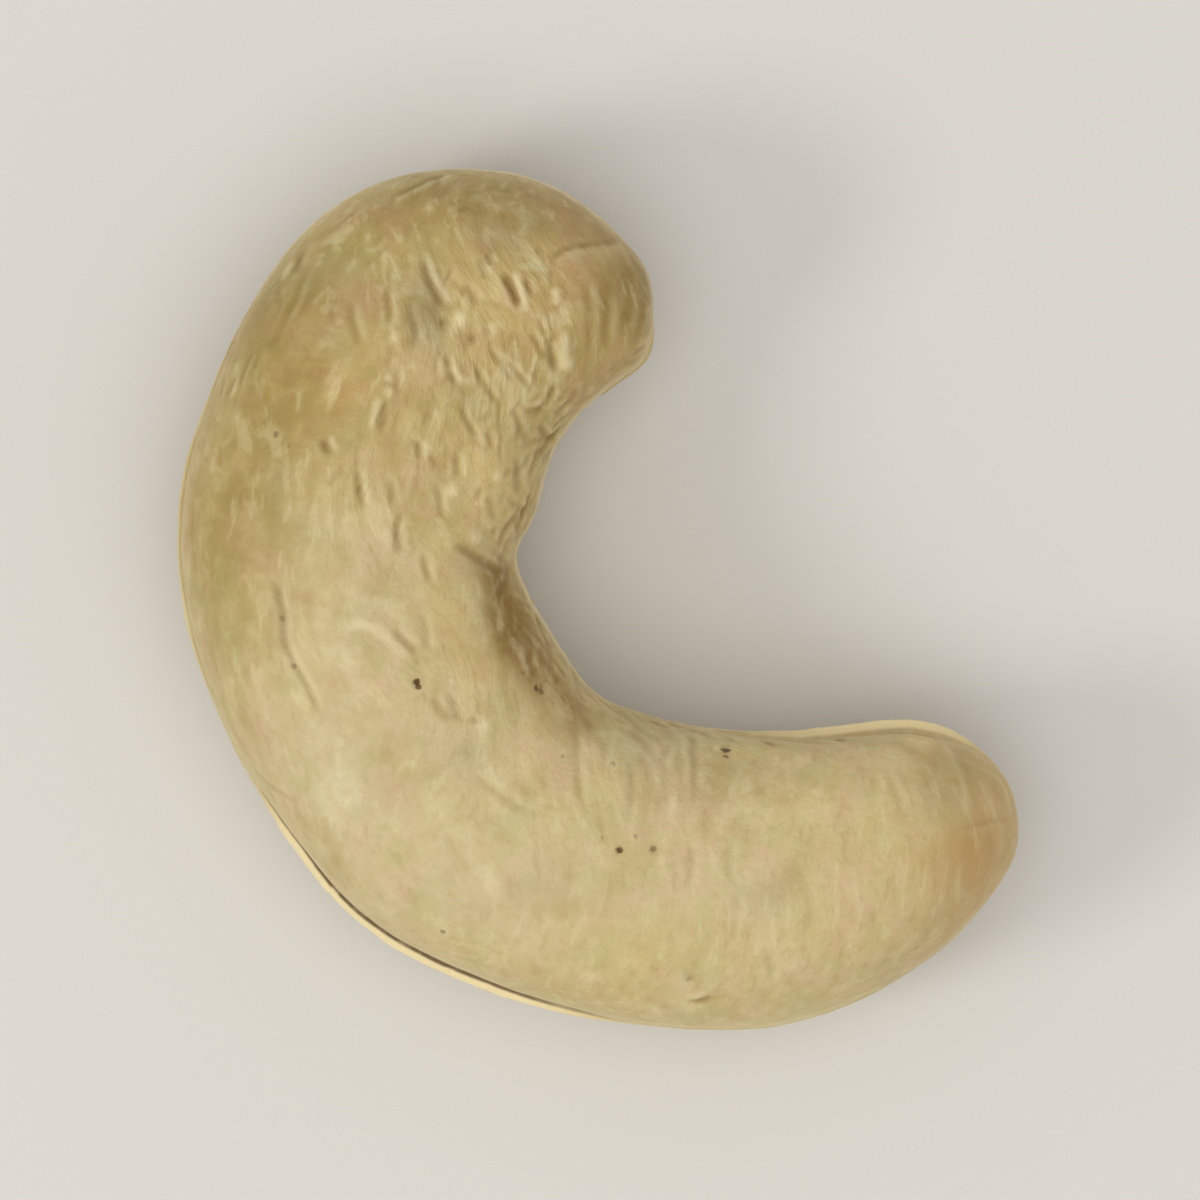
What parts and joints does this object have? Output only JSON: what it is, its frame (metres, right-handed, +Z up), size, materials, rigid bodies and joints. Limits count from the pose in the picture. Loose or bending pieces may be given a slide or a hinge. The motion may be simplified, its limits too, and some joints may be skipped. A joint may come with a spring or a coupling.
{
  "type": "cashew nut",
  "caption": "Whole shelled cashew kernel, strongly curled, lying on its broad side on a shallow flat; one natural piece with a seam round its edge.",
  "frame": {"origin": "centre of the bounding box's base, on the surface that the kernel rests on", "axes": "+Z up, through the kernel's broad side; the kernel curls in the XY plane, its curl opens towards +X, the blunt hooked end is at +Y and the tapered end at -Y"},
  "size_m": [0.0226, 0.0232, 0.0105],
  "materials": {
    "kernel": "satin"
  },
  "bodies": {
    "root": {"cashew_kernel": "kernel"}
  },
  "joints": []
}
